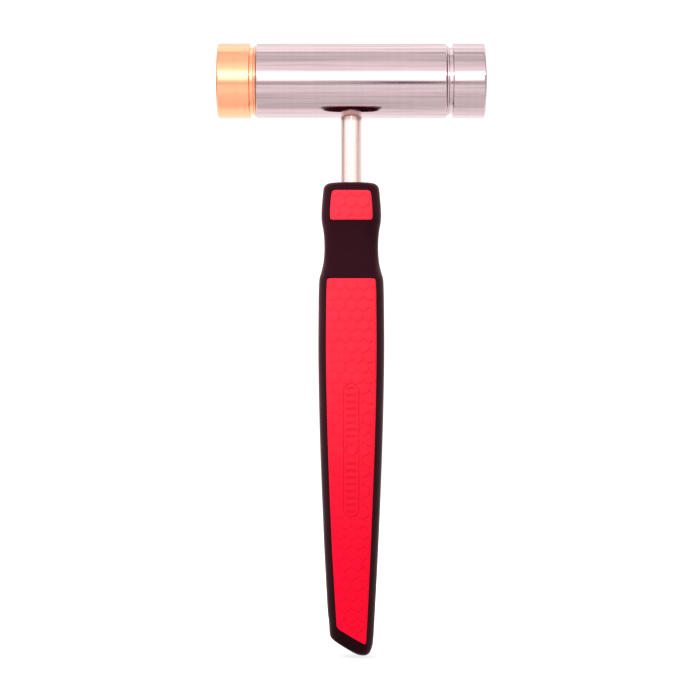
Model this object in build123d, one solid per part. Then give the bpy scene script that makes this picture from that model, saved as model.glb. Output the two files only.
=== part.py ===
"""Small bench hammer with screw-in brass and steel faces, modelled in millimetres.

The hammer stands head up: +Z runs from the tail of the handle to the head, the head lies along X with
the brass face at -X, and Y is the thin direction. The origin is on the rod's axis, at the height of the
tail's lowest point. Every piece is written as its own STEP file.

How it goes together: a plain steel rod is pushed up into a blind cross hole in the steel barrel and is
locked there by two dog-point screws, which are reached through the barrel's two threaded sockets. Each
socket takes the stud of a striking face, with a rubber ring under the face that keeps it from working
loose. The rod's lower half is moulded into a nylon core. A rubber grip is moulded over the core, and four
soft pads sit in pockets in the grip, two at the front and two at the rear.
"""

from build123d import *

import os
from math import cos, hypot, pi, radians, sin, tan

# ---------------------------------------------------------------- barrel
head_diameter = 28.6
barrel_length = 72.6
barrel_chamfer = 0.5

# ---------------------------------------------------------------- striking faces
face_land_length = 12.5  # the full-diameter part that strikes
face_edge_chamfer = 0.5
groove_depth = 1.5
groove_width = 1.6
lip_length = 0.8  # the thin collar between the groove and the barrel
lip_depth = 0.8  # how far the collar lies below the barrel's surface

# ---------------------------------------------------------------- threads, as plain cylinders
stud_diameter = 11.9
stud_length = 14.0
stud_chamfer = 0.8
stud_relief_depth = 1.0  # undercut at the root of the stud
stud_relief_length = 2.0
thread_gap = 0.05  # radial room between a thread and its hole
socket_clear_depth = 1.5  # hole left beyond the end of the stud
drill_point_angle = 118.0

# ---------------------------------------------------------------- rubber rings
ring_section = 1.6
ring_side_gap = 0.15  # radial room between the ring and the stud, and between the ring and its recess
ring_end_gap = 0.05

# ---------------------------------------------------------------- rod and its lock screws
rod_diameter = 7.94
rod_exposed = 24.7  # between the barrel and the handle
rod_above_centre = 8.0  # how far the rod runs past the barrel's axis
rod_in_handle = 105.0
rod_chamfer = 0.7
rod_gap = 0.02
rod_hole_end_room = 0.5
keying_groove_count = 4
keying_groove_width = 3.0
keying_groove_pitch = 14.0
keying_groove_depth = 0.7
keying_end_margin = 10.0  # from the rod's lower end to the first keying groove
screw_diameter = 6.0
screw_body_length = 9.0
dog_diameter = 4.0
dog_length = 1.6
dog_bite = 1.0  # how far a dog point reaches into the rod
dog_gap = 0.05
screw_hex_across_flats = 3.0
screw_hex_depth = 3.5
screw_chamfer = 0.5

# ---------------------------------------------------------------- handle, as half sizes of its sections
grip_length = 145.0  # from the tail's lowest point to the shoulder under the waist
waist_rise = 12.2  # heights above the shoulder
collar_rise = 22.8
crown_rise = 35.8  # the top of the handle
section_power = 2.7  # 2 is an ellipse, and larger is squarer
section_points = 28
waist_entry = ((0.25, 0.46), (0.5, 0.83))  # share of the rise to the waist, share of the waist's full fall

tail_half_width, tail_half_depth = 7.95, 8.0
shin_height, shin_half_width, shin_half_depth = 38.0, 10.05, 9.1
taper_height, taper_half_width, taper_half_depth = 76.0, 11.6, 9.9
palm_drop, palm_half_width, palm_half_depth = 30.0, 12.5, 10.3  # below the shoulder
shoulder_half_width, shoulder_half_depth = 12.1, 9.9
waist_half_width, waist_half_depth = 10.15, 8.0
collar_half_width, collar_half_depth = 11.35, 9.1
crown_half_width, crown_half_depth = 10.45, 8.5
crown_radius = 2.0  # rounding of the handle's top edge
tail_slant = 32.3  # degrees, the end drops from -X to +X
heel_radius = 1.6  # corner of the slanted end at -X
toe_radius = 4.6  # corner of the slanted end at +X
tail_edge_radius = 3.0  # rounding of the slanted end, front and back

# ---------------------------------------------------------------- grip and pads
grip_thickness = 2.6  # rubber over the nylon core
pad_thickness = 1.8
pad_proud = 0.25
pad_margin = 2.9  # black border left beside each pad
pad_shoulder_margin = 0.8  # border between the long pad and the shoulder
pad_tail_margin = 4.1  # border between the long pad and the slanted end
pad_collar_margin = 1.2  # how far the small pad reaches below the collar's widest line
pad_crown_margin = 2.4  # border between the small pad and the top of the handle
pad_corner_radius = 1.3
pad_crown_corner_radius = 2.2

# ---------------------------------------------------------------- worked-out places
head_radius = head_diameter / 2
handle_length = grip_length + crown_rise
head_height = handle_length + rod_exposed + head_radius  # of the barrel's axis
stud_radius = stud_diameter / 2
socket_radius = stud_radius + thread_gap
socket_depth = stud_length + socket_clear_depth
drill_point_length = socket_radius / tan(radians(drill_point_angle / 2))
ring_inner_radius = stud_radius + ring_side_gap
ring_recess_radius = ring_inner_radius + ring_section + ring_side_gap
ring_recess_depth = ring_section + 2 * ring_end_gap
rod_radius = rod_diameter / 2
tail_flare = (shin_half_width - tail_half_width) / shin_height  # slope of the side walls at the tail
cutter_reach = 2 * head_diameter  # deeper than the handle, for cutting tools
BASE = (Align.CENTER, Align.CENTER, Align.MIN)
SIDES = {"brass": -1, "steel": 1}
FACINGS = {"front": -1, "rear": 1}


def head_plane(side, reach):
    """A plane across the head's axis, reach away from its middle, with local Z pointing outwards."""
    return Plane(origin=(side * reach, 0, head_height), x_dir=(0, 1, 0), z_dir=(side, 0, 0))


def bar(radius, low, high):
    """A round bar on local Z between two heights."""
    return Pos(0, 0, low) * Cylinder(radius, high - low, align=BASE)


def turned(*points):
    """A solid of revolution about local Z, from (radius, height) points that start and end on the axis."""
    outline = make_face(Polyline(*[(radius, 0, height) for radius, height in points], close=True))
    return revolve(outline, Axis.Z)


# ================================================================ head


def striking_face():
    """Stud, collar, groove and land in one turned piece. Height 0 is the seat against the barrel."""
    stud_root_radius = stud_radius - stud_relief_depth
    lip_radius = head_radius - lip_depth
    groove_radius = head_radius - groove_depth
    land_low = lip_length + groove_width
    top = land_low + face_land_length
    return turned(
        (0, -stud_length),
        (stud_radius - stud_chamfer, -stud_length),
        (stud_radius, -stud_length + stud_chamfer),
        (stud_radius, -stud_relief_length),
        (stud_root_radius, -stud_relief_length + stud_relief_depth),
        (stud_root_radius, 0),
        (lip_radius, 0),
        (lip_radius, lip_length),
        (groove_radius, lip_length),
        (groove_radius, land_low),
        (head_radius - face_edge_chamfer / 2, land_low),
        (head_radius, land_low + face_edge_chamfer / 2),
        (head_radius, top - face_edge_chamfer),
        (head_radius - face_edge_chamfer, top),
        (0, top),
    )


def face_ring():
    """The rubber ring, in the mouth of the socket."""
    centre = (ring_inner_radius + ring_section / 2, 0, -ring_recess_depth / 2)
    return revolve(Plane(origin=centre, z_dir=(0, -1, 0)) * Circle(ring_section / 2), Axis.Z)


def socket_tool():
    """What is cut out of one end of the barrel: ring recess, threaded hole, drill point and screw hole."""
    bottom = -socket_depth
    point = turned((0, bottom), (socket_radius, bottom), (0, bottom - drill_point_length))
    screw_hole = bar(screw_diameter / 2 + thread_gap, -barrel_length / 2, bottom)
    recess = bar(ring_recess_radius, -ring_recess_depth, 1)
    return recess + bar(socket_radius, bottom, 0) + point + screw_hole


def barrel():
    body = head_plane(1, -barrel_length / 2) * bar(head_radius, 0, barrel_length)
    body = chamfer(body.edges().filter_by(GeomType.CIRCLE), barrel_chamfer)
    for side in SIDES.values():
        body -= head_plane(side, barrel_length / 2) * socket_tool()
    hole_top = head_height + rod_above_centre + rod_hole_end_room
    return body - bar(rod_radius + rod_gap, handle_length, hole_top)


def lock_screw():
    """A dog-point screw. Height 0 is the tip of the dog, and the hexagon socket is at the top."""
    radius = screw_diameter / 2
    top = dog_length + screw_body_length
    body = turned(
        (0, 0),
        (dog_diameter / 2, 0),
        (dog_diameter / 2, dog_length),
        (radius - screw_chamfer, dog_length),
        (radius, dog_length + screw_chamfer),
        (radius, top - screw_chamfer),
        (radius - screw_chamfer, top),
        (0, top),
    )
    hexagon = RegularPolygon(screw_hex_across_flats / 2, 6, major_radius=False)
    return body - Pos(0, 0, top - screw_hex_depth) * extrude(hexagon, screw_hex_depth)


def lock_screws():
    """Both screws, one from each end of the barrel, with their dogs in the rod."""
    return Compound([head_plane(side, rod_radius - dog_bite) * lock_screw() for side in SIDES.values()])


# ================================================================ rod


def rod():
    """The rod, with seats for the two dog points and grooves that key it into the handle."""
    low = handle_length - rod_in_handle
    shaft = bar(rod_radius, low, head_height + rod_above_centre)
    shaft = chamfer(shaft.edges().filter_by(GeomType.CIRCLE), rod_chamfer)
    for index in range(keying_groove_count):
        start = low + keying_end_margin + index * keying_groove_pitch
        end = start + keying_groove_width
        shaft -= bar(rod_radius + 1, start, end) - bar(rod_radius - keying_groove_depth, start, end)
    for side in SIDES.values():
        seat = bar(dog_diameter / 2 + dog_gap, 0, rod_radius)
        shaft -= head_plane(side, rod_radius - dog_bite - dog_gap) * seat
    return shaft


# ================================================================ handle


def section(height, half_width, half_depth, inset):
    """One level section of the handle, a squared ellipse."""
    width = half_width - inset
    depth = half_depth - inset
    points = []
    for index in range(section_points):
        angle = 2 * pi * index / section_points
        x, y = cos(angle), sin(angle)
        reach = (abs(x / width) ** section_power + abs(y / depth) ** section_power) ** (-1 / section_power)
        points.append((reach * x, reach * y))
    return Pos(0, 0, height) * make_face(Spline(*points, periodic=True))


def blended(start, end, share):
    """A height, half width and half depth between two levels. share may lie outside 0 to 1."""
    return tuple(a + (b - a) * share for a, b in zip(start, end))


TAIL = (0, tail_half_width, tail_half_depth)
SHIN = (shin_height, shin_half_width, shin_half_depth)
TAPER = (taper_height, taper_half_width, taper_half_depth)
PALM = (grip_length - palm_drop, palm_half_width, palm_half_depth)
SHOULDER = (grip_length, shoulder_half_width, shoulder_half_depth)
WAIST = (grip_length + waist_rise, waist_half_width, waist_half_depth)
COLLAR = (grip_length + collar_rise, collar_half_width, collar_half_depth)
CROWN = (handle_length, crown_half_width, crown_half_depth)


def waist_levels():
    """Levels of the hollow between the shoulder and the collar, which falls in fast and flares out again."""
    entry = []
    for rise, fall in waist_entry:
        height = blended(SHOULDER, WAIST, rise)[0]
        entry.append((height, *blended(SHOULDER, WAIST, fall)[1:]))
    return [SHOULDER, *entry, WAIST, blended(WAIST, COLLAR, 0.5), COLLAR]


def corner_tool(corner, first, second, radius):
    """What is cut off a flat corner to round it: first and second point along its two sides."""
    bisector = (first + second).normalized()
    half_angle = radians(first.get_angle(second)) / 2
    centre = corner + bisector * (radius / sin(half_angle))
    outside = corner - bisector * radius
    start = corner + first * (radius / tan(half_angle))
    end = corner + second * (radius / tan(half_angle))
    arc = ThreePointArc(start, centre - bisector * radius, end)
    return make_face([arc, Line(end, outside), Line(outside, start)])


def slant_height(x):
    """Height of the slanted end at x. It touches the toe's arc, whose lowest point is at height 0."""
    slant = radians(tail_slant)
    toe_centre_x = tail_half_width + toe_radius * (tail_flare - hypot(1, tail_flare))
    return toe_radius - toe_radius / cos(slant) - (x - toe_centre_x) * tan(slant)


def cut_tail(body):
    """Cut the slanted end and round its corners and its front and back edges."""
    slant = radians(tail_slant)
    along = Vector(cos(slant), 0, -sin(slant))
    across = Vector(sin(slant), 0, cos(slant))
    middle = Vector(0, 0, slant_height(0))
    body = split(body, Plane(origin=middle, z_dir=across), keep=Keep.TOP)

    for side, radius in ((-1, heel_radius), (1, toe_radius)):
        wall = Vector(side * tail_flare, 0, 1).normalized()
        # where the wall's line meets the slanted line
        wall_x = side * (tail_half_width + tail_flare * slant_height(0))
        corner_x = wall_x / (1 + side * tail_flare * tan(slant))
        corner = Vector(corner_x, 0, slant_height(corner_x))
        tool = corner_tool(corner, along * -side, wall, radius)
        body -= extrude(tool, cutter_reach, dir=(0, 1, 0), both=True)

    for side in FACINGS.values():
        corner = middle + Vector(0, side * tail_half_depth, 0)
        tool = corner_tool(corner, Vector(0, -side, 0), across, tail_edge_radius)
        body -= extrude(tool, cutter_reach, dir=along, both=True)
    return body


def handle(inset):
    """The handle's outer shape, or a smaller or larger copy for what lies inside or stands proud of it."""
    below_tail = blended(TAIL, SHIN, -0.25)
    lower = [below_tail, SHIN, TAPER, PALM, SHOULDER]
    upper = [COLLAR, CROWN]
    parts = [loft([section(*level, inset) for level in levels]) for levels in (lower, waist_levels(), upper)]
    return parts[0] + parts[1] + parts[2]


def handle_shell():
    """The outside of the rubber grip, with its rounded ends."""
    body = handle(0)
    body = fillet(body.faces().sort_by(Axis.Z)[-1].edges(), crown_radius)
    return cut_tail(body)


def core_shape():
    """The outside of the nylon core: the handle's shape, smaller all round and short of both ends."""
    slant = radians(tail_slant)
    low = slant_height(0) + grip_thickness / cos(slant)
    top = Plane(origin=(0, 0, handle_length - grip_thickness))
    end = Plane(origin=(0, 0, low), z_dir=(sin(slant), 0, cos(slant)))
    return split(split(handle(grip_thickness), top, keep=Keep.BOTTOM), end, keep=Keep.TOP)


# ================================================================ pads


def pad_sides(levels):
    """Half widths of a pad at some levels, inside the border, as (x, z) points."""
    return [Vector(width - pad_margin, 0, height) for height, width, _ in levels]


def mirrored(point):
    return Vector(-point.X, 0, point.Z)


def pad_face(right, left, lower_radius, upper_radius):
    """A flat outline between two side curves, given from the bottom up, with rounded corners."""
    right_side = Spline(*right) if len(right) > 2 else Line(*right)
    left_side = Spline(*left) if len(left) > 2 else Line(*left)
    face = make_face([right_side, Line(right[-1], left[-1]), left_side, Line(left[0], right[0])])
    corners = face.vertices().sort_by(Axis.Z)
    face = fillet(corners[:2], lower_radius)
    return fillet(face.vertices().sort_by(Axis.Z)[-2:], upper_radius)


def long_pad_face():
    """Outline of the long pad, whose lower end is parallel to the slanted end of the handle."""
    top = blended(SHOULDER, PALM, pad_shoulder_margin / palm_drop)
    sides = pad_sides([SHIN, TAPER, PALM, top])
    rise = pad_tail_margin / cos(radians(tail_slant))

    def low_end(side):
        x = tail_half_width - pad_margin
        return Vector(side * x, 0, slant_height(side * x) + rise)

    right = [low_end(1)] + sides
    left = [low_end(-1)] + [mirrored(point) for point in sides]
    return pad_face(right, left, pad_corner_radius, pad_corner_radius)


def small_pad_face():
    """Outline of the small pad on the collar."""
    low = (COLLAR[0] - pad_collar_margin, collar_half_width, collar_half_depth)
    high = blended(CROWN, COLLAR, pad_crown_margin / (CROWN[0] - COLLAR[0]))
    right = pad_sides([low, high])
    return pad_face(right, [mirrored(point) for point in right], pad_corner_radius, pad_crown_corner_radius)


def prism(outline, side):
    """An outline run out of the handle's middle plane, to the front or to the rear."""
    return extrude(outline, cutter_reach, dir=(0, side, 0))


# ================================================================ build

os.makedirs("parts", exist_ok=True)
pieces = {"head_barrel": barrel(), "handle_rod": rod(), "rod_lock_screws": lock_screws()}
for name, side in SIDES.items():
    seat = head_plane(side, barrel_length / 2)
    pieces[name + "_face"] = seat * striking_face()
    pieces[name + "_face_ring"] = seat * face_ring()

core = core_shape()
pad_floor = handle(pad_thickness)
pad_layer = handle(-pad_proud) - pad_floor
grip = handle_shell() - core - pieces["handle_rod"]
for name, side in FACINGS.items():
    for kind, outline in (("grip_pad", long_pad_face()), ("neck_pad", small_pad_face())):
        tool = prism(outline, side)
        grip -= tool - pad_floor
        pieces[f"{name}_{kind}"] = tool & pad_layer
pieces["handle_core"] = core - pieces["handle_rod"]
pieces["grip_overmould"] = grip

for name, piece in pieces.items():
    export_step(piece, f"parts/{name}.step")
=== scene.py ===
"""A small bench hammer with screw-in faces, laid out as an add-on: one operator models each kind of piece."""

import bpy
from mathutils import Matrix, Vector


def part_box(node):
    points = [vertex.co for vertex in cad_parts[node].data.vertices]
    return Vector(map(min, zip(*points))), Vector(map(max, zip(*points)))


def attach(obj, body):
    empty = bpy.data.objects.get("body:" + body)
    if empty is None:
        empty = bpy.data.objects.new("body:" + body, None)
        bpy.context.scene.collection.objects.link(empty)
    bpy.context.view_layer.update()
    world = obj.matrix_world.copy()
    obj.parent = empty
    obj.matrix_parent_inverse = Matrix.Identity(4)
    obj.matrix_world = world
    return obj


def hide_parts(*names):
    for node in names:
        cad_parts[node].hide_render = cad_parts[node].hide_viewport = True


bl_info = {
    "name": "Bench hammer",
    "version": (1, 0, 0),
    "blender": (4, 5, 0),
    "location": "3D View > Sidebar > Hammer",
    "description": "Models a double-faced bench hammer, piece by piece, around its packed frame",
    "category": "Add Mesh",
}

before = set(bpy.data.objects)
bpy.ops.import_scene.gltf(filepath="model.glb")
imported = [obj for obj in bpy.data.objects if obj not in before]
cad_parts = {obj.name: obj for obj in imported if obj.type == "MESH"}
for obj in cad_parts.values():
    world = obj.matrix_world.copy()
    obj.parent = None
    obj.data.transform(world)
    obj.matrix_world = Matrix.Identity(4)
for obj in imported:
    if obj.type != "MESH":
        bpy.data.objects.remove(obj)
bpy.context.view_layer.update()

import math
from collections import namedtuple

import bmesh
import bpy
from bpy.props import FloatProperty, FloatVectorProperty, IntProperty, PointerProperty
from mathutils import Matrix, Vector

MM = 0.001
SLIVER = 0.002 * MM  # edges and faces thinner than this are left over from a cut

# ------------------------ places, from the frame
BARREL_LOW, BARREL_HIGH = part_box("head_barrel")
HEAD_HEIGHT = (BARREL_LOW.z + BARREL_HIGH.z) / 2
HEAD_RADIUS = (BARREL_HIGH.z - BARREL_LOW.z) / 2
BARREL_END = BARREL_HIGH.x
FACE_LOW, FACE_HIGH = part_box("steel_face")
FACE_LENGTH = FACE_HIGH.x - BARREL_END
STUD_LENGTH = BARREL_END - FACE_LOW.x
RING_LOW, RING_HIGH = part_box("steel_face_ring")
RING_SECTION = (RING_HIGH.x - RING_LOW.x) / 2
RING_RADIUS = (RING_HIGH.z - RING_LOW.z) / 2 - RING_SECTION
RING_REACH = (RING_HIGH.x + RING_LOW.x) / 2
ROD_LOW, ROD_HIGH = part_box("handle_rod")
ROD_RADIUS = (ROD_HIGH.x - ROD_LOW.x) / 2
SCREW_LOW, SCREW_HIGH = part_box("rod_lock_screws")
SCREW_RADIUS = (SCREW_HIGH.z - SCREW_LOW.z) / 2
HANDLE_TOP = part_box("grip_overmould")[1].z
CORE_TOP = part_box("handle_core")[1].z
SKIN = HANDLE_TOP - CORE_TOP
SIDES = {"brass": -1, "steel": 1}

# Sections of the handle from the tail up, in millimetres: height, half width, half depth.
HANDLE_SECTIONS = (
    (0.0, 8.15, 8.0), (19.0, 9.25, 8.55), (38.0, 10.27, 9.1), (57.0, 11.09, 9.5),
    (76.0, 11.82, 9.9), (96.0, 12.38, 10.16), (115.0, 12.68, 10.3), (130.0, 12.62, 10.2),
    (143.8, 12.35, 9.92), (145.9, 11.74, 9.5), (147.6, 11.26, 9.05), (149.4, 10.84, 8.6),
    (151.6, 10.51, 8.25), (154.3, 10.33, 8.06), (157.4, 10.31, 8.0), (160.5, 10.5, 8.04),
    (162.8, 10.78, 8.26), (164.6, 11.16, 8.6), (167.2, 11.52, 9.1), (174.0, 11.17, 8.92),
    (180.8, 10.43, 8.5),
)
SLANT = math.radians(32.3)
SLANT_FADE = 57.0  # the height in millimetres from which rings are level
# Rings of the slanted tail, from its flat end up: heel x and z, toe x and z, half depth, and how far the
# pad's columns keep to the handle's middle.
TAIL_RINGS = (
    (-6.9, 6.2, 1.9, 0.72, 5.3, 0.0),
    (-7.85, 6.85, 3.3, 0.2, 6.9, 0.0),
    (-8.27, 7.75, 5.2, 0.02, 7.75, 0.15),
    (-8.42, 9.0, 7.0, 0.5, 8.1, 0.5),
    (-8.6, 12.8, 7.95, 3.0, 8.2, 1.0),
)
LONG_PAD = (7.3, 144.2)  # heights in millimetres of the pads' lower and upper borders on the middle line
NECK_PAD = (165.9, 177.7)
RIM = 0.12 * MM  # a narrow band that keeps a pocket's edge crisp


# ------------------------ sizes and finishes


def length(name, description, millimetres):
    """A length that a user can change."""
    return FloatProperty(name=name, description=description, default=millimetres * MM, unit="LENGTH")


def tone(name, description, colour):
    """A colour that a user can change."""
    return FloatVectorProperty(name=name, description=description, default=colour, subtype="COLOR", size=3)


class HeadSizes(bpy.types.PropertyGroup):
    """Small shapes on the head."""

    edge_round: length("Edge round", "Rounding of turned edges", 0.35)
    groove_depth: length("Groove depth", "Depth of the groove behind each face", 1.5)
    groove_width: length("Groove width", "Width of the groove behind each face", 1.6)
    lip_length: length("Lip length", "Length of the collar next to the barrel", 0.8)
    lip_depth: length("Lip depth", "How far the collar lies below the barrel", 0.8)
    crown: length("Face crown", "How far each striking face domes", 0.12)
    stud_radius: length("Stud radius", "Crest radius of the studs", 5.95)
    stud_pitch: length("Stud pitch", "Pitch of the studs' thread", 1.75)
    thread_gap: length("Thread gap", "Room between a thread and its hole", 0.06)
    segments: IntProperty(name="Segments", description="Facets round a turned piece", default=144, min=24)


class GripSizes(bpy.types.PropertyGroup):
    """Small shapes on the handle."""

    border: length("Border", "Black border beside each long pad", 2.82)
    neck_border: length("Neck border", "Black border beside each small pad", 3.12)
    seam: length("Seam", "Gap between a pad and its pocket", 0.16)
    pocket_depth: length("Pocket depth", "Depth of the pads' pockets", 1.8)
    pillow: length("Pillow", "How far a pad's middle stands above its edge", 0.30)
    hexagon: length("Hexagon", "Width across a hexagon's flats", 4.54)
    line_width: length("Line width", "Width of the lines between hexagons", 0.66)
    line_depth: length("Line depth", "Depth of the lines between hexagons", 0.20)
    bar_width: length("Bar width", "Width of the bordered rib bar", 5.8)
    bar_low: length("Bar low end", "Height of the rib bar's lower end", 53.6)
    bar_high: length("Bar high end", "Height of the rib bar's upper end", 104.0)
    rib_pitch: length("Rib pitch", "Distance between ribs in the bar", 2.6)


class Finishes(bpy.types.PropertyGroup):
    """Colours of the hammer's materials."""

    chrome: tone("Chrome", "Polished head", (0.535, 0.405, 0.428))
    brass: tone("Brass", "Brass face", (0.97, 0.41, 0.232))
    rod: tone("Rod", "Bright rod", (0.92, 0.66, 0.61))
    black_rubber: tone("Black rubber", "Moulded grip", (0.0135, 0.0020, 0.0045))
    red_rubber: tone("Red rubber", "Pads", (0.66, 0.0230, 0.0410))
    nylon: tone("Nylon", "Core of the handle", (0.030, 0.030, 0.034))
    black_oxide: tone("Black oxide", "Lock screws", (0.06, 0.06, 0.065))


class StageSettings(bpy.types.PropertyGroup):
    """Camera and light."""

    distance: length("Distance", "Camera to the hammer", 800.0)
    eye_height: length("Eye height", "Height of the camera", 116.8)
    lens: FloatProperty(name="Lens", description="Focal length", default=107.4, unit="CAMERA")
    room: FloatProperty(name="Room light", description="Strength of the room that gloss shows", default=1.0)
    ambient: FloatProperty(name="Soft light", description="Strength of the room's light on matt faces", default=0.25)
    key: FloatProperty(name="Key light", description="Power of the soft light above", default=15.0, unit="POWER")


def settings(group):
    """One of the property groups above, by its name on the scene."""
    return getattr(bpy.context.scene, "hammer_" + group)


# ------------------------ modelling


def deselect_all():
    bpy.ops.object.select_all(action="DESELECT")


def select_only(piece):
    deselect_all()
    piece.select_set(True)
    bpy.context.view_layer.objects.active = piece


def renamed(piece, name):
    piece.name = name
    piece.data.name = name
    return piece


def add(operator, name, **values):
    """What an operator adds, with a name of its own."""
    deselect_all()
    operator(**values)
    return renamed(bpy.context.object, name)


def edit(piece, action="DESELECT"):
    """Open one piece in edit mode, with nothing in it selected or, with SELECT, all of it."""
    select_only(piece)
    bpy.ops.object.mode_set(mode="EDIT")
    bpy.ops.mesh.select_all(action=action)


def leave_edit():
    bpy.ops.object.mode_set(mode="OBJECT")


def select_faces(piece, test):
    """Select the faces of the piece in edit mode that pass a test."""
    bpy.ops.mesh.select_mode(type="FACE")
    mesh = bmesh.from_edit_mesh(piece.data)
    for face in mesh.faces:
        face.select_set(test(face))
    bmesh.update_edit_mesh(piece.data)


def tidy_normals(piece):
    """Turn every face outwards."""
    edit(piece, "SELECT")
    bpy.ops.mesh.normals_make_consistent(inside=False)
    leave_edit()


def apply_modifier(piece, kind, **values):
    """Add a modifier, set it up and apply it."""
    select_only(piece)
    modifier = piece.modifiers.new(kind.title(), kind)
    for name, value in values.items():
        setattr(modifier, name, value)
    bpy.ops.object.modifier_apply(modifier=modifier.name)


def combine(piece, tool, operation="DIFFERENCE"):
    """Cut a tool out of a piece, or join it on, and remove the tool."""
    apply_modifier(piece, "BOOLEAN", operation=operation, solver="EXACT", object=tool)
    bpy.data.objects.remove(tool)
    edit(piece, "SELECT")
    bpy.ops.mesh.remove_doubles(threshold=SLIVER)
    bpy.ops.mesh.dissolve_degenerate(threshold=SLIVER)
    leave_edit()
    return piece


def copied(piece, name):
    """A copy with its own mesh."""
    copy = piece.copy()
    copy.data = piece.data.copy()
    bpy.context.scene.collection.objects.link(copy)
    return renamed(copy, name)


def placed(piece, matrix):
    """Move a piece and leave its object at the origin, with its place in its mesh."""
    select_only(piece)
    piece.matrix_world = matrix
    bpy.ops.object.transform_apply(location=True, rotation=True, scale=True)
    return piece


def out_of_head(side, reach):
    """The turn that points local Z out of one end of the head, from a point reach along its axis."""
    turn = Matrix(((0, 0, side), (1, 0, 0), (0, side, 0))).to_4x4()
    return Matrix.Translation((side * reach, 0, HEAD_HEIGHT)) @ turn


def eased(profile, radius, steps=4):
    """A profile with each inner corner replaced by a small curve."""
    points = [Vector(point) for point in profile]
    result = [points[0]]
    for before, corner, after in zip(points, points[1:], points[2:]):
        back, ahead = before - corner, after - corner
        reach = min(radius, 0.45 * back.length, 0.45 * ahead.length)
        start = corner + back.normalized() * reach
        end = corner + ahead.normalized() * reach
        for step in range(steps + 1):
            share = step / steps
            result.append(start.lerp(corner, share).lerp(corner.lerp(end, share), share))
    return [tuple(point) for point in result + [points[-1]]]


def turned(name, profile, segments=0):
    """A closed turned piece on local Z, extruded and scaled from a disc along (radius, height) points."""
    radius, height = profile[0]
    piece = add(
        bpy.ops.mesh.primitive_circle_add, name,
        vertices=segments or settings("head").segments, radius=radius, fill_type="NGON", location=(0, 0, height),
    )
    bpy.ops.object.transform_apply(location=True)
    edit(piece, "SELECT")
    bpy.ops.mesh.select_mode(type="FACE")
    for next_radius, next_height in profile[1:]:
        bpy.ops.mesh.extrude_region_move(TRANSFORM_OT_translate={"value": (0, 0, next_height - height)})
        scale = next_radius / radius
        bpy.ops.transform.resize(value=(scale, scale, 1), center_override=(0, 0, next_height))
        radius, height = next_radius, next_height
    leave_edit()
    tidy_normals(piece)
    return piece


def smooth(piece, degrees=32):
    """Smooth shading that keeps real edges, with flat faces left flat."""
    select_only(piece)
    bpy.ops.object.shade_smooth_by_angle(angle=math.radians(degrees))
    apply_modifier(piece, "WEIGHTED_NORMAL", weight=50, keep_sharp=True)
    return piece


THREAD_DEPTH = 0.57  # shares of the pitch
CREST_FLAT = 1 / 8
FLANK_ANGLE = math.radians(30)
THREAD_STEPS = 48  # facets in a turn


def threaded_bar(name, crest, pitch, low, high, chamfer):
    """A closed bar with a right-hand helical thread on local Z, with chamfered ends."""
    depth = THREAD_DEPTH * pitch
    flank = depth * math.tan(FLANK_ANGLE)
    crest_flat = CREST_FLAT * pitch
    root_flat = pitch - 2 * flank - crest_flat
    turns = math.ceil((high - low) / pitch) + 2
    start = math.floor(low / pitch - 1) * pitch  # whole pitches, so that a stud and its hole are in step
    piece = add(bpy.ops.mesh.primitive_plane_add, name, size=pitch, location=(0, 0, 0))
    edit(piece, "SELECT")
    bpy.ops.mesh.merge(type="CENTER")
    bpy.ops.transform.translate(value=(crest - depth, 0, start))
    for along, up in ((0, root_flat), (depth, flank), (0, crest_flat), (-depth, flank)):
        bpy.ops.mesh.extrude_vertices_move(TRANSFORM_OT_translate={"value": (along, 0, up)})
    leave_edit()
    apply_modifier(
        piece, "SCREW", axis="Z", angle=2 * math.pi, screw_offset=pitch, iterations=turns, steps=THREAD_STEPS,
        render_steps=THREAD_STEPS, use_merge_vertices=True, merge_threshold=pitch / 1000,
    )
    edit(piece, "SELECT")
    bpy.ops.mesh.remove_doubles(threshold=pitch / 1000)
    for height, keep_above in ((low, True), (high, False)):
        bpy.ops.mesh.select_all(action="SELECT")
        bpy.ops.mesh.bisect(
            plane_co=(0, 0, height), plane_no=(0, 0, 1), use_fill=True,
            clear_inner=keep_above, clear_outer=not keep_above,
        )
    leave_edit()
    tidy_normals(piece)
    outer = crest * 1.02
    inner = crest - chamfer
    slope = chamfer * 1.2
    spare = 0.3 * pitch
    ends = (
        (inner, low - spare), (inner, low), (outer, low + slope),
        (outer, high - slope), (inner, high), (inner, high + spare),
    )
    envelope = turned(name + "_envelope", ends, segments=96)
    return combine(piece, envelope, "INTERSECT")


# ------------------------ materials


class Link:
    """A node's output. Arithmetic on it adds Math nodes."""

    def __init__(self, look, socket):
        self.look = look
        self.socket = socket

    def maths(self, operation, *values):
        return self.look.node("ShaderNodeMath", dict(enumerate(values)), operation=operation)

    def __add__(self, other):
        return self.maths("ADD", self, other)

    def __sub__(self, other):
        return self.maths("SUBTRACT", self, other)

    def __rsub__(self, other):
        return self.maths("SUBTRACT", other, self)

    def __mul__(self, other):
        return self.maths("MULTIPLY", self, other)

    __radd__ = __add__
    __rmul__ = __mul__

    def within(self, low, high):
        """0 below low, 1 above high, and a smooth slope between."""
        values = {"Value": self, "From Min": low, "From Max": high}
        return self.look.node("ShaderNodeMapRange", values, interpolation_type="SMOOTHSTEP")


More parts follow.
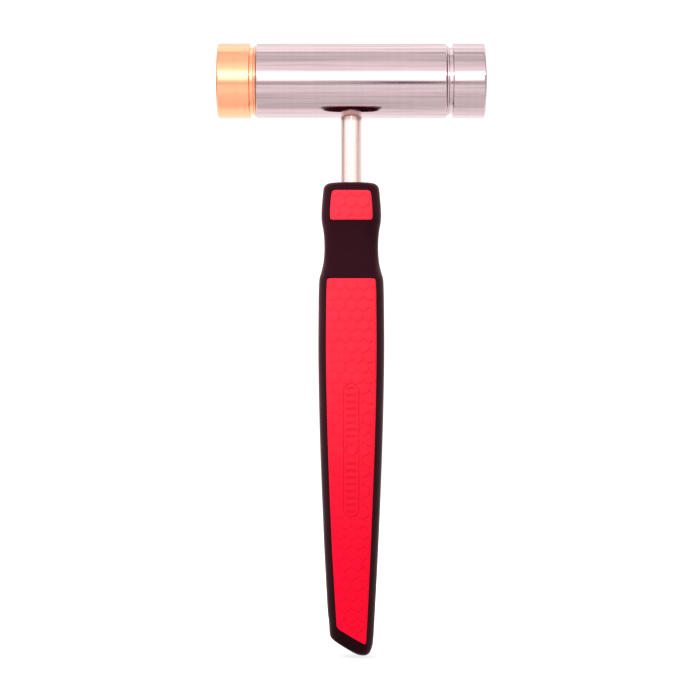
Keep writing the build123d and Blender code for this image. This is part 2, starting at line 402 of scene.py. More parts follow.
class Look:
    """The nodes of a material or a world, with one method that adds any node."""

    def __init__(self, owner):
        owner.use_nodes = True
        self.owner = owner
        self.tree = owner.node_tree

    def node(self, kind, inputs=None, output=0, **options):
        """Add a node: its settings first, then the values or links of its inputs. Gives one output."""
        node = self.tree.nodes.new(kind)
        for position, colour in options.pop("stops", ()):
            stop = node.color_ramp.elements.new(position)
            stop.color = colour
        if kind == "ShaderNodeValToRGB":  # without the two stops that a new ramp comes with
            for end in (0, -1):
                node.color_ramp.elements.remove(node.color_ramp.elements[end])
        for name, value in options.items():
            setattr(node, name, value)
        self.fill(node, inputs or {})
        return Link(self, node.outputs[output])

    def fill(self, node, inputs):
        for name, value in inputs.items():
            if isinstance(value, Link):
                self.tree.links.new(value.socket, node.inputs[name])
            else:
                node.inputs[name].default_value = value

    def place(self, origin=(0, 0, 0), scale=(1, 1, 1)):
        """Object coordinates, measured from an origin and scaled."""
        here = self.node("ShaderNodeTexCoord", output="Object")
        return self.vector_maths("MULTIPLY", self.vector_maths("SUBTRACT", here, origin), scale)

    def noise(self, where, scale, detail=2.0, roughness=0.5):
        inputs = {"Vector": where, "Scale": scale, "Detail": detail, "Roughness": roughness}
        return self.node("ShaderNodeTexNoise", inputs, output="Fac")

    def noise_along(self, where, scale, detail=2.0, roughness=0.5):
        """Noise that changes along one number only, and so lies in rings or bands."""
        inputs = {"W": where, "Scale": scale, "Detail": detail, "Roughness": roughness}
        return self.node("ShaderNodeTexNoise", inputs, output="Fac", noise_dimensions="1D")

    def mix(self, share, first, second):
        """A colour between two colours."""
        # a Mix node has a set of sockets for each kind of value, and these are its colour ones
        return self.node("ShaderNodeMix", {0: share, 6: first, 7: second}, output=2, data_type="RGBA")

    def part(self, vector, axis):
        """One of a vector's three numbers, by its name or index."""
        return self.node("ShaderNodeSeparateXYZ", {0: vector}, output=axis)

    def vector_maths(self, operation, first, second=(0, 0, 0), output=0):
        return self.node("ShaderNodeVectorMath", {0: first, 1: second}, output, operation=operation)

    def ramp(self, value, low, high, stops):
        """A grey that follows (value, light) stops between two values."""
        span = high - low
        greys = [((at - low) / span, (light, light, light, 1.0)) for at, light in stops]
        return self.node("ShaderNodeValToRGB", {"Fac": (value - low) * (1 / span)}, stops=greys)

    def bump(self, height, depth, below=None):
        """A bump of a given depth in metres, on top of another bump."""
        inputs = {"Height": height, "Distance": depth, "Strength": 1.0}
        if below:
            inputs["Normal"] = below
        return self.node("ShaderNodeBump", inputs)

    def finish(self, **inputs):
        surface = self.tree.nodes["Principled BSDF"]
        self.fill(surface, {name.replace("_", " "): value for name, value in inputs.items()})
        return self.owner


def rgba(colour, share=1.0):
    return (*(channel * share for channel in colour), 1.0)


WHITE = (1.0, 1.0, 1.0)
# the colour of the painted shade where the rod meets the barrel
CONTACT_SHADE_COLOUR = (0.40, 0.24, 0.21, 1.0)
TAIL_SHADE_HEIGHTS = (0.020, 0.185)  # where on the handle the painted shade towards the tail is whole, and where it is gone


def turned_metal(name, colour, axis, origin, polish, marks, tint=0.90, drawn=0.5, skin=HEAD_RADIUS, contact_shade=None):
    """Metal finished on a lathe: fine rings round the axis and across flat ends, with faint smudges.

    polish is its least roughness, marks is how strong its rings are, and tint is how dark its bands are.
    drawn is how strong the fine lines of its polishing are, which run along the axis on the outside, at
    radius skin. stain is where along the axis painted shade darkens it, from none to most, as where the rod goes into
    the barrel.
    """
    look = Look(bpy.data.materials.new(name))
    here = look.place(origin)
    along = look.part(here, axis)
    across = [0.0 if index == axis else 1.0 for index in range(3)]
    radius = look.vector_maths("LENGTH", look.vector_maths("MULTIPLY", here, across), output="Value")
    travel = along + radius
    rings = look.noise_along(travel, 5200.0, 3.0, 0.7)
    bands = look.noise_along(travel, 420.0)
    smudge = look.noise(here, 55.0, 3.0, 0.6).within(0.42, 0.72)
    speck = look.noise(here, 900.0).within(0.66, 0.74)
    stretched = look.place(origin, [0.02 if index == axis else 1.0 for index in range(3)])
    outside = radius.within(0.93 * skin, 0.97 * skin)
    lines = look.noise(stretched, 1100.0, 3.0, 0.65) * outside
    broad_lines = look.noise(stretched, 260.0) * outside
    shade = look.mix(bands.within(0.3, 0.7) * 0.35 + smudge * 0.22, rgba(colour), rgba(colour, tint))
    shade = look.mix((lines.within(0.46, 0.66) + broad_lines.within(0.45, 0.65)) * drawn, shade, rgba(colour, 0.78))
    if contact_shade:
        # painted shade where the rod goes into the barrel
        shade = look.mix(along.within(*contact_shade) * 0.85, shade, CONTACT_SHADE_COLOUR)
    fine = look.bump(rings * 0.7 + bands * 0.3, marks * 0.01 * MM)
    return look.finish(
        Base_Color=shade,
        Metallic=1.0,
        Roughness=rings * marks + smudge * 0.03 + speck * 0.08 + lines * drawn * 0.03 + polish,
        Normal=look.bump(lines, drawn * 0.006 * MM, fine),
    )


def rubber(name, colour, worn, grain, rough, gloss, tail_shade=None, relief_shade=False, **more):
    """Moulded rubber with a fine grain and faint handling marks.

    grain is how fine its grain is, rough its least roughness, and gloss its specular level. tail_shade is
    what its colour is multiplied by towards the tail, as painted light and shade that is lighter at the top and darker
    at the tail, and relief darkens the moulded lines with painted shade.
    """
    look = Look(bpy.data.materials.new(name))
    here = look.place()
    fine = look.noise(here, grain, 3.0, 0.6)
    broad = look.noise(here, 60.0, 3.0, 0.55)
    handled = broad.within(0.45, 0.75)
    shade = look.mix(handled * 0.5 + fine.within(0.35, 0.75) * 0.3, rgba(colour), rgba(worn))
    if relief_shade:
        # painted shade in the moulded lines, read from the pads' attribute
        line = look.node("ShaderNodeAttribute", output="Fac", attribute_name="relief_shade")
        shade = look.mix(line * 0.6, shade, rgba(colour, 0.45))
    # painted light and shade: the colour stays lighter at the top and is darkened towards the tail
    if tail_shade:
        fade = look.mix(look.part(here, "Z").within(*TAIL_SHADE_HEIGHTS), rgba(tail_shade), rgba(WHITE))
        shade = look.vector_maths("MULTIPLY", shade, fade)
    return look.finish(
        Base_Color=shade,
        Roughness=rough + fine * 0.14 - handled * 0.06,
        Specular_IOR_Level=gloss,
        Normal=look.bump(fine, 0.035 * MM, look.bump(broad, 0.05 * MM)),
        **more,
    )


def make_materials():
    """Every finish on the hammer, by name."""
    finish = settings("finishes")
    chrome, brass, rod, black, red, nylon, oxide = (
        tuple(getattr(finish, name))
        for name in ("chrome", "brass", "rod", "black_rubber", "red_rubber", "nylon", "black_oxide")
    )
    head = (0, 0, HEAD_HEIGHT)
    return {
        "chrome": turned_metal("polished_head_steel", chrome, 0, head, 0.035, 0.03, drawn=0.8),
        "brass": turned_metal("turned_brass", brass, 0, head, 0.13, 0.14, tint=0.88, drawn=0.12),
        # the rod's top, where it meets the barrel's underside, is darkened with painted shade
        "rod": turned_metal("bright_drawn_rod", rod, 2, (0, 0, 0), 0.12, 0.08, drawn=0.25, skin=ROD_RADIUS,
                            contact_shade=(0.2038, 0.2054)),
        "oxide": turned_metal("black_oxide_screw", oxide, 0, head, 0.38, 0.2),
        "ring": rubber("black_ring_rubber", (0.012, 0.012, 0.013), (0.03, 0.03, 0.031), 1600.0, 0.50, 0.3),
        "nylon": rubber("moulded_nylon", nylon, (0.05, 0.05, 0.055), 700.0, 0.42, 0.4),
        # the black and the red grip are darkened towards the tail with painted shade
        "black": rubber("black_grip_rubber", black, tuple(1.7 * channel for channel in black), 1500.0, 0.40, 0.03,
                        tail_shade=(0.40, 0.30, 0.25), Sheen_Weight=0.09, Sheen_Roughness=0.45,
                        Sheen_Tint=(1.0, 0.22, 0.28, 1.0)),
        "red": rubber("red_pad_rubber", red, (0.74, 0.034, 0.052), 1500.0, 0.26, 0.045,
                      tail_shade=(1.0, 0.06, 0.45), relief_shade=True),
    }


MATERIALS = {}


def hand_over(piece, look, body, node):
    """Give a finished piece its material and its body, and hide the frame's node that it stands for."""
    if not MATERIALS:
        MATERIALS.update(make_materials())
    piece.data.materials.clear()
    piece.data.materials.append(MATERIALS[look])
    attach(piece, body)
    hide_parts(node)


# ------------------------ head


class HAMMER_OT_barrel(bpy.types.Operator):
    """Model the barrel, with its threaded sockets and its cross hole."""

    bl_idname = "hammer.barrel"
    bl_label = "Barrel"

    def execute(self, context):
        sizes = settings("head")
        chamfer = 0.5 * MM
        profile = (
            (HEAD_RADIUS - chamfer, -BARREL_END), (HEAD_RADIUS, chamfer - BARREL_END),
            (HEAD_RADIUS, BARREL_END - chamfer), (HEAD_RADIUS - chamfer, BARREL_END),
        )
        barrel = placed(turned("barrel", eased(profile, chamfer / 2)), out_of_head(1, 0))
        recess_radius = RING_RADIUS + RING_SECTION + 0.15 * MM
        recess_depth = 2 * RING_SECTION + 0.1 * MM
        socket_depth = STUD_LENGTH + 1.5 * MM
        hole = sizes.stud_radius + sizes.thread_gap
        drilled = SCREW_RADIUS + 0.05 * MM
        for side in SIDES.values():
            recess = turned("recess", ((recess_radius, -recess_depth), (recess_radius, MM)))
            tap = threaded_bar("tap", hole, sizes.stud_pitch, -socket_depth, -recess_depth / 2, 0.4 * MM)
            # the lock screw's hole goes on from the socket's cone to the cross hole
            cone = ((drilled, -BARREL_END), (drilled, -socket_depth - 1.2 * MM), (0.8 * hole, 0.5 * MM - socket_depth))
            for tool in (recess, tap, turned("drill", cone)):
                combine(barrel, placed(tool, out_of_head(side, BARREL_END)))
        hole_radius = ROD_RADIUS + 0.03 * MM
        hole_low = HEAD_HEIGHT - 1.2 * HEAD_RADIUS
        cross = ((hole_radius, hole_low), (hole_radius, ROD_HIGH.z + 0.5 * MM))
        combine(barrel, turned("cross_hole", cross, segments=72))
        hand_over(smooth(barrel), "chrome", "root", "head_barrel")
        return {"FINISHED"}


class HAMMER_OT_faces(bpy.types.Operator):
    """Model the brass and the steel striking face, with their threaded studs."""

    bl_idname = "hammer.faces"
    bl_label = "Striking faces"

    def execute(self, context):
        sizes = settings("head")
        neck = sizes.stud_radius - 0.65 * sizes.stud_pitch
        lip_radius = HEAD_RADIUS - sizes.lip_depth
        groove_radius = HEAD_RADIUS - sizes.groove_depth
        land_low = sizes.lip_length + sizes.groove_width
        relief_end = 2.0 * MM
        round_off = 0.6 * MM
        outline = (
            (neck, -relief_end - MM), (neck, 0),
            (lip_radius, 0), (lip_radius, sizes.lip_length),
            (groove_radius, sizes.lip_length), (groove_radius, land_low),
            (HEAD_RADIUS, land_low), (HEAD_RADIUS, FACE_LENGTH - 1.25 * round_off),
            (HEAD_RADIUS - round_off, FACE_LENGTH - sizes.crown),
            (0.6 * HEAD_RADIUS, FACE_LENGTH - sizes.crown * 0.36), (0.1 * HEAD_RADIUS, FACE_LENGTH),
        )
        face = turned("face", eased(outline, sizes.edge_round))
        stud = threaded_bar("stud", sizes.stud_radius, sizes.stud_pitch, -STUD_LENGTH, -relief_end, 0.8 * MM)
        combine(face, stud, "UNION")
        smooth(face)
        looks = {"brass": ("brass", "brass"), "steel": ("chrome", "polished_steel")}
        for name, side in SIDES.items():
            piece = placed(copied(face, name + "_striking_face"), out_of_head(side, BARREL_END))
            look, slot = looks[name]
            hand_over(piece, look, name + "_face", name + "_face")
        bpy.data.objects.remove(face)
        return {"FINISHED"}


class HAMMER_OT_rings(bpy.types.Operator):
    """Model the rubber ring under each striking face."""

    bl_idname = "hammer.rings"
    bl_label = "Rubber rings"

    def execute(self, context):
        for name, side in SIDES.items():
            ring = add(
                bpy.ops.mesh.primitive_torus_add, name + "_ring",
                major_radius=RING_RADIUS, minor_radius=RING_SECTION, major_segments=96, minor_segments=20,
            )
            edit(ring)
            # flatten the two sides that are squeezed in use
            select_faces(ring, lambda face: abs(face.normal.z) > 0.9)
            bpy.ops.transform.resize(value=(1, 1, 0.97), center_override=(0, 0, 0))
            leave_edit()
            placed(ring, out_of_head(side, RING_REACH))
            hand_over(smooth(ring, 60), "ring", name + "_carrier", name + "_face_ring")
        return {"FINISHED"}


DOG_RADIUS = 2.0 * MM  # the lock screws' points, which sit in shallow seats in the rod
DOG_DEPTH = 1.0 * MM
DOG_GAP = 0.05 * MM


def rod_profile(extra=0.0):
    """The rod from its lower end up, with the grooves that key it into the handle."""
    chamfer = groove_depth = 0.7 * MM
    radius = ROD_RADIUS + extra
    floor = radius - groove_depth
    profile = [(radius - chamfer, ROD_LOW.z), (radius, ROD_LOW.z + chamfer)]
    for start in (10, 24, 38, 52):
        low = ROD_LOW.z + start * MM
        high = low + 3 * MM
        profile += [(radius, low), (floor, low), (floor, high), (radius, high)]
    return profile + [(radius, ROD_HIGH.z - chamfer), (radius - chamfer, ROD_HIGH.z)]


class HAMMER_OT_rod(bpy.types.Operator):
    """Model the rod between the head and the handle."""

    bl_idname = "hammer.rod"
    bl_label = "Rod"

    def execute(self, context):
        rod = turned("rod", eased(rod_profile(), 0.15 * MM))
        seat_radius = DOG_RADIUS + DOG_GAP
        for side in SIDES.values():
            seat = turned("dog_seat", ((seat_radius, 0), (seat_radius, ROD_RADIUS)), segments=48)
            combine(rod, placed(seat, out_of_head(side, ROD_RADIUS - DOG_DEPTH - DOG_GAP)))
        hand_over(smooth(rod), "rod", "root", "handle_rod")
        return {"FINISHED"}


class HAMMER_OT_lock_screws(bpy.types.Operator):
    """Model the two dog-point screws that lock the rod in the barrel."""

    bl_idname = "hammer.lock_screws"
    bl_label = "Lock screws"

    def execute(self, context):
        tip = ROD_RADIUS - DOG_DEPTH
        dog_length = 1.6 * MM
        top = SCREW_HIGH.x - tip
        pitch = MM
        screw = threaded_bar("screw", SCREW_RADIUS, pitch, dog_length, top, 0.5 * MM)
        outline = ((DOG_RADIUS - 0.1 * MM, 0), (DOG_RADIUS, 0.2 * MM), (DOG_RADIUS, dog_length + pitch))
        combine(screw, turned("dog", eased(outline, 0.1 * MM), 48), "UNION")
        key_radius = 1.5 * MM / math.cos(math.radians(30))  # to the corners of a 3 mm hexagon
        key = turned("key", ((key_radius, top - 3.5 * MM), (key_radius, top + MM)), segments=6)
        combine(screw, key)
        smooth(screw)
        left = placed(copied(screw, "left_lock_screw"), out_of_head(-1, tip))
        placed(screw, out_of_head(1, tip))
        select_only(screw)
        left.select_set(True)
        bpy.ops.object.join()
        screw.name = "lock_screws"
        hand_over(screw, "oxide", "root", "rod_lock_screws")
        return {"FINISHED"}


# ------------------------ handle

Section = namedtuple("Section", "shift height half_width half_depth tilt border power aside")
RING_POINTS = 24
FRONT = RING_POINTS // 2  # a ring's column at the front, and column 0 is at the rear
BORDER_COLUMN = 3  # the pads' side borders lie this many columns from the middle
SQUARENESS = 3.1  # 2 is an ellipse, and larger is squarer
SIDE_COLUMNS = {4: 0.93, 5: 0.99}  # shares of the half width
WIDEST_BORDER = 0.72  # share of the half width that a border column can reach
INNER_GAP = 2.2 * MM  # from a border column to the next one inwards
WAIST = 155  # the height in millimetres that parts the long pads from the small ones
WALL_FLARE = 0.0553  # how fast the handle widens above the tail, which sets a tilted ring off centre


def size_at(height):
    """Half width and half depth of the handle at a height in millimetres, on a smooth curve."""
    rows = HANDLE_SECTIONS
    index = max(i for i, row in enumerate(rows[:-1]) if row[0] <= max(height, 0.0))
    low, high = rows[index], rows[index + 1]
    before, after = rows[max(index - 1, 0)], rows[min(index + 2, len(rows) - 1)]
    run = high[0] - low[0]
    t = (height - low[0]) / run
    sizes = []
    for axis in (1, 2):
        rise_low = (high[axis] - before[axis]) / (high[0] - before[0]) * run
        rise_high = (after[axis] - low[axis]) / (after[0] - low[0]) * run
        a, b = low[axis], high[axis]
        sizes.append(
            (2 * t**3 - 3 * t**2 + 1) * a + (t**3 - 2 * t**2 + t) * rise_low
            + (3 * t**2 - 2 * t**3) * b + (t**3 - t**2) * rise_high
        )
    return sizes


def border_at(height):
    """Half width of the pads at a height in millimetres."""
    sizes = settings("grip")
    return size_at(height)[0] - (sizes.neck_border if height > WAIST else sizes.border) / MM


def handle_section(height, inset=0.0, trim=0.0):
    """A section of the handle, tilted more and more towards the slanted tail. Millimetres in, metres out."""
    half_width, half_depth = size_at(height)
    fade = min(max((SLANT_FADE - height) / (SLANT_FADE - LONG_PAD[0]), 0.0), 1.0)
    tilt = SLANT * fade * fade * (3 - 2 * fade)
    shift = -WALL_FLARE * half_width * math.tan(tilt)
    less = inset + trim
    return Section(
        shift * MM, height * MM, (half_width - less) * MM, (half_depth - less) * MM, tilt,
        max(border_at(height) - 1.2 * less, 0.5) * MM, SQUARENESS, -shift * MM,
    )


def tail_section(heel_x, heel_z, toe_x, toe_z, half_depth, aside, inset=0.0):
    """A ring of the slanted tail, from its heel to its toe. aside is how far it keeps the pad's middle line."""
    inward, up = 0.9 * inset, 1.1 * inset
    heel_x, toe_x, heel_z, toe_z = heel_x + inward, toe_x - inward, heel_z + up, toe_z + up
    half_width = (toe_x - heel_x) / 2
    tilt = math.atan2(heel_z - toe_z, toe_x - heel_x)
    height = (heel_z + toe_z) / 2
    border = min(border_at(LONG_PAD[0]), WIDEST_BORDER * half_width)
    shift = (heel_x + toe_x) / 2
    return Section(
        shift * MM, height * MM, half_width * MM, (half_depth - inset) * MM, tilt, border * MM, SQUARENESS,
        -aside * shift * MM,
    )


def round_section(radius, height):
    """A level circle. Metres in and out."""
    return Section(0.0, height, radius, radius, 0.0, WIDEST_BORDER * radius, 2.0, 0.0)


def spaced(heights, gap):
    """Heights with extra ones between any two that are further apart than gap."""
    result = [heights[0]]
    for low, high in zip(heights, heights[1:]):
        extra = math.ceil((high - low) / gap - 0.01) - 1
        result += [low + (high - low) * (index + 1) / (extra + 1) for index in range(extra)]
        result.append(high)
    return result


def mirrored(step):
    """The four columns that lie this many steps from the front and rear ones."""
    return step, RING_POINTS - step, FRONT - step, FRONT + step


class Moulding:
    """A tube closed at both ends: a disc extruded ring by ring, whose rings are then brought to their sections."""

    def __init__(self, name, sections):
        self.piece = add(bpy.ops.mesh.primitive_circle_add, name, vertices=RING_POINTS, radius=1, fill_type="NGON")
        edit(self.piece, "SELECT")
        bpy.ops.mesh.select_mode(type="FACE")
        for _ in sections[1:]:
            bpy.ops.mesh.extrude_region_move(TRANSFORM_OT_translate={"value": (0, 0, 1)})
        leave_edit()
        # each point's ring and column, read while the tube is still straight and round
        self.points = {}
        for vertex in self.piece.data.vertices:
            angle = math.degrees(math.atan2(vertex.co.y, vertex.co.x)) - 90
            column = round(angle / (360 / RING_POINTS)) % RING_POINTS
            self.points[vertex.index] = (round(vertex.co.z), column)
        edit(self.piece)
        bpy.ops.mesh.select_mode(type="VERT")
        for ring, section in enumerate(sections):
            self.shape(ring, section)
        leave_edit()
        tidy_normals(self.piece)

    def select(self, ring, columns=range(RING_POINTS)):
        """Select one ring's points in some of its columns."""
        mesh = bmesh.from_edit_mesh(self.piece.data)
        for vertex in mesh.verts:
            at_ring, column = self.points[vertex.index]
            vertex.select_set(at_ring == ring and column in columns)
        bmesh.update_edit_mesh(self.piece.data)

    def shape(self, ring, section):
        """Square, scale, tilt and move one ring to its section."""
        centre = (0, 0, ring)
        border = section.border / section.half_width
        inner = max(border - INNER_GAP / section.half_width, 0.35 * border)
        shares = {1: inner / 2, 2: inner, BORDER_COLUMN: border, **SIDE_COLUMNS}
        for step, share in shares.items():
            angle = 2 * math.pi * step / RING_POINTS
            depth = (1 - share**section.power) ** (1 / section.power)
            self.select(ring, mirrored(step))
            bpy.ops.transform.resize(
                value=(share / math.sin(angle), depth / math.cos(angle), 1), center_override=centre
            )
        self.select(ring)
        bpy.ops.transform.resize(value=(section.half_width, section.half_depth, 1), center_override=centre)
        # columns of the pads' borders stand still where the ring's own middle is off the handle's axis
        for step in range(1, BORDER_COLUMN + 1):
            self.select(ring, mirrored(step))
            bpy.ops.transform.translate(value=(section.aside, 0, 0))
        self.select(ring)
        if section.tilt:
            bpy.ops.transform.rotate(value=-section.tilt, orient_axis="Y", center_override=centre)
            steep = 1 / math.cos(section.tilt)
            bpy.ops.transform.resize(value=(steep, 1, steep), center_override=centre)
        bpy.ops.transform.translate(value=(section.shift, 0, section.height - ring))

    def pad_region(self, side, low, high):
        """Tests faces: whether a face of the piece lies between two rings, in the columns of a pad."""
        middle = FRONT if side == "front" else 0
        columns = {(middle + step) % RING_POINTS for step in range(-BORDER_COLUMN, BORDER_COLUMN + 1)}
        wanted = {index for index, (ring, column) in self.points.items() if low <= ring <= high and column in columns}
        return lambda face: len(face.verts) == 4 and all(vertex.index in wanted for vertex in face.verts)


def handle_form():
    """The handle's outer rings, its inner rings, and the rings where each pad's borders lie."""
    rod_hole = ROD_RADIUS + 0.06 * MM
    core_top = CORE_TOP + 0.05 * MM
    neck_low, neck_high = NECK_PAD
    heights = spaced([LONG_PAD[0] + 3.0, 38.0, 76.0, 115.0, LONG_PAD[1] - 2.2], 4.7)
    heights += [LONG_PAD[1], 145.6, 147.2, 148.8, 150.8, 154.0, 157.4, 160.8, 163.2, 164.7]
    heights += [neck_low, neck_low + 2.2, 171.0, neck_high - 3.6, neck_high, 178.9]
    sections = [tail_section(*ring) for ring in TAIL_RINGS] + [handle_section(height) for height in heights]
    rings = {height: index for index, height in enumerate(heights, len(TAIL_RINGS))}
    pads = {"grip": (len(TAIL_RINGS) - 1, rings[LONG_PAD[1]]), "neck": (rings[neck_low], rings[neck_high])}
    crown = HANDLE_TOP / MM
    sections += [
        handle_section(crown - 0.9, trim=0.55),
        handle_section(crown - 0.22, trim=1.75),
        handle_section(crown, trim=3.6),
        round_section(rod_hole + 0.5 * MM, HANDLE_TOP),
        round_section(rod_hole, HANDLE_TOP - 0.25 * MM),
        round_section(rod_hole, HANDLE_TOP - 0.9 * MM),
        round_section(rod_hole, core_top + 0.25 * MM),
        round_section(rod_hole + 0.3 * MM, core_top),
    ]
    return sections, inner_sections(SKIN / MM - 0.03, core_top)[::-1], pads


def inner_sections(inset, top):
    """The core's rings, from the tail up to a flat top."""
    heights = (LONG_PAD[0] + 6, 24, 38, 57, 76, 96, 115, 130, 142, 148.05, 151.1, 157.2, 162.5, 167.8, 174)
    sections = [tail_section(*ring, inset=inset) for ring in TAIL_RINGS]
    sections += [handle_section(height, inset) for height in heights]
    last = top / MM
    return sections + [
        handle_section(last - 0.5, inset), handle_section(last, inset, 0.2), handle_section(last, inset, 1.2)
    ]


class HAMMER_OT_core(bpy.types.Operator):
    """Model the nylon core that holds the rod inside the grip."""

    bl_idname = "hammer.core"
    bl_label = "Nylon core"

    def execute(self, context):
        core = Moulding("handle_core_moulding", inner_sections(SKIN / MM + 0.03, CORE_TOP)).piece
        apply_modifier(core, "SUBSURF", levels=2, render_levels=2)
        bore = turned("bore", rod_profile(0.02 * MM) + [(ROD_RADIUS, ROD_HIGH.z + MM)], segments=72)
        hand_over(smooth(combine(core, bore)), "nylon", "root", "handle_core")
        return {"FINISHED"}


class HAMMER_OT_grip(bpy.types.Operator):
    """Model the black rubber grip: a shell over the core, with a pocket for each pad."""

    bl_idname = "hammer.grip"
    bl_label = "Rubber grip"

    def execute(self, context):
        sizes = settings("grip")
        outer, inner, pads = handle_form()
        moulding = Moulding("grip_shell", outer + inner)
        grip = moulding.piece
        regions = [moulding.pad_region(side, *rings) for side in ("front", "rear") for rings in pads.values()]
        edit(grip)
        select_faces(grip, lambda face: any(region(face) for region in regions))
        bpy.ops.mesh.inset(thickness=RIM, depth=0)
        lip = 0.15 * MM
        for depth in (lip, sizes.pocket_depth - lip):
            bpy.ops.mesh.extrude_region_shrink_fatten(TRANSFORM_OT_shrink_fatten={"value": -depth})
        bpy.ops.mesh.inset(thickness=0.25 * MM, depth=0)
        leave_edit()
        apply_modifier(grip, "SUBSURF", levels=2, render_levels=2)
        hand_over(smooth(grip, 50), "black", "root", "grip_overmould")
        return {"FINISHED"}


def hexagon_place(x, z, across):
    """For a grid of upright hexagons: the distance to the nearest side, and the height over the middle, -1 to 1."""
    row_pitch = across * math.sqrt(3) / 2
    nearest = []
    row = round(z / row_pitch)
    for r in (row - 1, row, row + 1):
        offset = across / 2 * (r % 2)
        column = round((x - offset) / across)
        for c in (column - 1, column, column + 1):
            rise = z - r * row_pitch
            nearest.append((math.hypot(x - c * across - offset, rise), rise))
    nearest.sort()
    return (nearest[1][0] - nearest[0][0]) / 2, nearest[0][1] / (across / math.sqrt(3))


def rounded_bar(x, z, half_width, low, high):
    """Distance in metres from a point to an upright bar with round ends. It is negative inside."""
    middle = min(max(z, low + half_width), high - half_width)
    return math.hypot(x, z - middle) - half_width


def ramp(value, low, high):
    """A smooth slope from 0 at low to 1 at high."""
    share = min(max((value - low) / (high - low), 0.0), 1.0)
    return share * share * (3 - 2 * share)


def pad_relief(x, z, edge, bar):
    """The moulded pattern at a point: how deep it is, and how dark the painted shade in its lines is, both from 0 to 1.

    edge is how far away the pad's border is.
    """
    sizes = settings("grip")
    field = ramp(edge, 0.8 * MM, 1.4 * MM)  # none of it close to the border
    away, rise = hexagon_place(x, z, sizes.hexagon)
    line = 1 - ramp(away, 0.25 * sizes.line_width, 0.8 * sizes.line_width)
    # plates overlap a little like scales, so that each one's lower edges stand out most, pressed deepest there and
    # darkest with painted shade
    dark = line * (0.26 + 0.48 * ramp(-rise, 0.0, 0.4))
    line = max(line * (0.5 + 0.5 * ramp(-rise, -0.1, 0.3)), 0.5 * ramp(rise, -0.4, 0.95))
    if not bar:
        return field * line, field * dark
    half = sizes.bar_width / 2
    away = rounded_bar(x, z, half, sizes.bar_low, sizes.bar_high)
    if away > 0.5 * MM:
        clear = field * ramp(away, 0.5 * MM, 0.9 * MM)
        return clear * line, clear * dark
    # the rib bar has an outline, a ring in its middle, and ribs above and below the ring, each as dark with painted
    # shade as it is deep
    outline = 1 - ramp(abs(away), 0.12 * MM, 0.42 * MM)
    if away > 0:
        return outline, outline
    middle = (sizes.bar_low + sizes.bar_high) / 2
    boss = math.hypot(x, z - middle)
    ring = 1 - ramp(abs(boss - 2.2 * MM), 0.1 * MM, 0.35 * MM)
    phase = abs((z - middle) / sizes.rib_pitch % 1 - 0.5)
    rib = ramp(phase, 0.2, 0.3) * ramp(-away, 0.7 * MM, 1.0 * MM) * ramp(boss, 2.9 * MM, 3.3 * MM)
    deep = max(outline, ring, 0.8 * rib)
    return deep, deep


PAD_SHOULDER = 0.8 * MM  # how far in from its edge a pad reaches its full height


def make_pad(name, moulding, side, part, rings):
    """One pad: a patch of the grip's own form, raised in the middle, with its pattern pressed in."""
    sizes = settings("grip")
    region = moulding.pad_region(side, *rings)
    pad = copied(moulding.piece, name + "_moulding")
    edit(pad)
    select_faces(pad, lambda face: not region(face))
    bpy.ops.mesh.delete(type="FACE")
    bpy.ops.mesh.select_all(action="SELECT")
    bpy.ops.mesh.inset(thickness=RIM + sizes.seam, depth=0)
    bpy.ops.mesh.select_all(action="INVERT")
    bpy.ops.mesh.delete(type="FACE")
    leave_edit()
    apply_modifier(pad, "SUBSURF", levels=3, render_levels=3)
    edit(pad, "SELECT")
    bpy.ops.mesh.subdivide(number_cuts=1, smoothness=0)
    leave_edit()
    mesh = pad.data
    relief_shade = []
    raised = pad.vertex_groups.new(name="raised")
    press = 0.999 * sizes.line_depth / sizes.pillow
    slope = math.tan(SLANT) if part == "grip" else 0.0
    low, high = LONG_PAD if part == "grip" else NECK_PAD
    for vertex in mesh.vertices:
        x, z = vertex.co.x, vertex.co.z
        border = border_at(z / MM) * MM - RIM - sizes.seam
        below = (z - low * MM + x * slope) / math.hypot(1, slope) - RIM
        edge = max(min(border - abs(x), below, high * MM - z - RIM), 0.0)
        pressed, dark = pad_relief(x, z, edge, part == "grip" and side == "front")
        # the painted shade of the lines goes to the material through an attribute
        relief_shade.append(dark)
        proud = 1 - (1 - min(edge / PAD_SHOULDER, 1)) ** 2
        raised.add([vertex.index], proud - pressed * press, "REPLACE")
    mesh.attributes.new("relief_shade", "FLOAT", "POINT").data.foreach_set("value", relief_shade)
    apply_modifier(pad, "DISPLACE", strength=sizes.pillow, mid_level=0.0, vertex_group="raised")
    apply_modifier(pad, "SOLIDIFY", thickness=sizes.pocket_depth - 0.1 * MM, offset=-1, use_even_offset=False)
    hand_over(smooth(pad, 55), "red", "root", name)


class HAMMER_OT_pads(bpy.types.Operator):
    """Model the four red pads, front and rear."""

    bl_idname = "hammer.pads"
    bl_label = "Red pads"

    def execute(self, context):
        outer, inner, pads = handle_form()
        moulding = Moulding("pad_form", outer)
        for side in ("front", "rear"):
            for part, rings in pads.items():
                make_pad(f"{side}_{part}_pad", moulding, side, part, rings)
        bpy.data.objects.remove(moulding.piece)
        return {"FINISHED"}


# ------------------------ stage

FLOOR_RADIUS = 0.82
# Light of the room by angle in degrees round the head's axis: 0 is towards the camera, 90 up, 180 behind.
ROOM_STRIPS = (
    (-180, 1.3), (-20, 1.1), (-9, 1.05), (-6.5, 1.5), (-4, 2.6), (0, 3.6), (2, 4.6), (17, 4.6),
    (20.5, 3.2), (24.5, 2.1), (27.6, 1.9), (32, 1.85), (37, 1.75), (41, 1.6), (48, 1.45), (51, 1.45),
    (55, 1.3), (61, 1.2), (66, 1.2), (69, 1.42), (73, 1.2), (91, 1.16), (96, 1.4), (103, 1.6),
    (109, 1.3), (113, 1.6), (120, 1.5), (140, 1.25), (180, 1.3),
)
